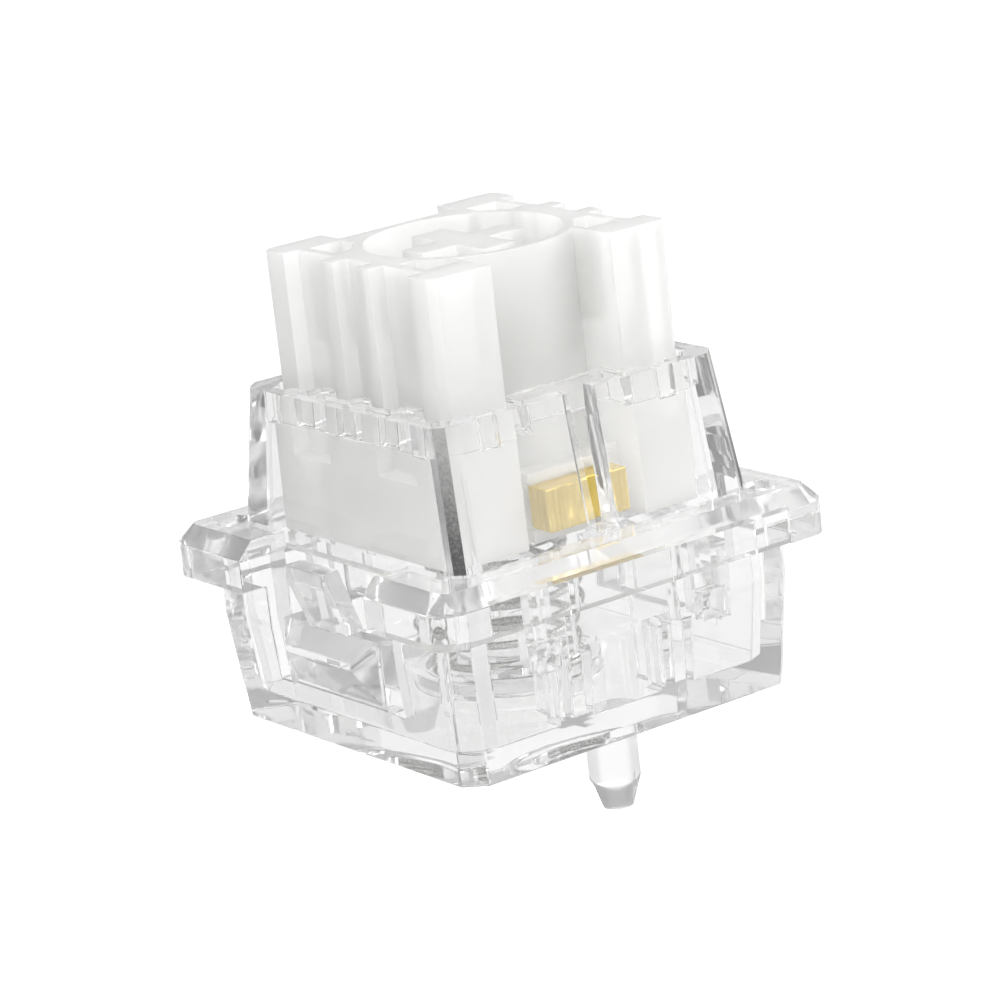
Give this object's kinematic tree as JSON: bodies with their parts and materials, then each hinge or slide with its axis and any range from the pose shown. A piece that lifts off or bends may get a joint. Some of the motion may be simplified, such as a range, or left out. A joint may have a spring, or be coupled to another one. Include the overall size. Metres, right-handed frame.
{
  "type": "mechanical keyboard switch",
  "caption": "Clear keyboard switch: snap-together polycarbonate housing, milky sliding stem with keycap cross, gold-plated magnet and return spring.",
  "frame": {"origin": "centre of the seat on the circuit board, on the stem's axis", "axes": "+Z along the stem, towards the keycap; the latches face -X and +X; the locating pegs lie on the Y axis, and the magnet is on the -Y side"},
  "size_m": [0.0156, 0.0156, 0.0184],
  "materials": {
    "clear_housing": "polished clear polycarbonate",
    "milky_stem": "milky translucent plastic, satin",
    "gold_plate": "polished gold plating",
    "spring_steel": "drawn spring wire"
  },
  "bodies": {
    "housing": {"upper_housing": "clear_housing", "lower_housing": "clear_housing", "return_spring": "spring_steel"},
    "stem": {"stem": "milky_stem", "magnet": "gold_plate"}
  },
  "joints": [
    {"name": "stem_travel", "type": "slide", "parent": "housing", "child": "stem", "axis": [0, 0, -1], "range_m": [0, 0.004], "stiffness_N_per_m": 60, "springref_m": -0.0045, "deforming": ["return_spring"]}
  ]
}
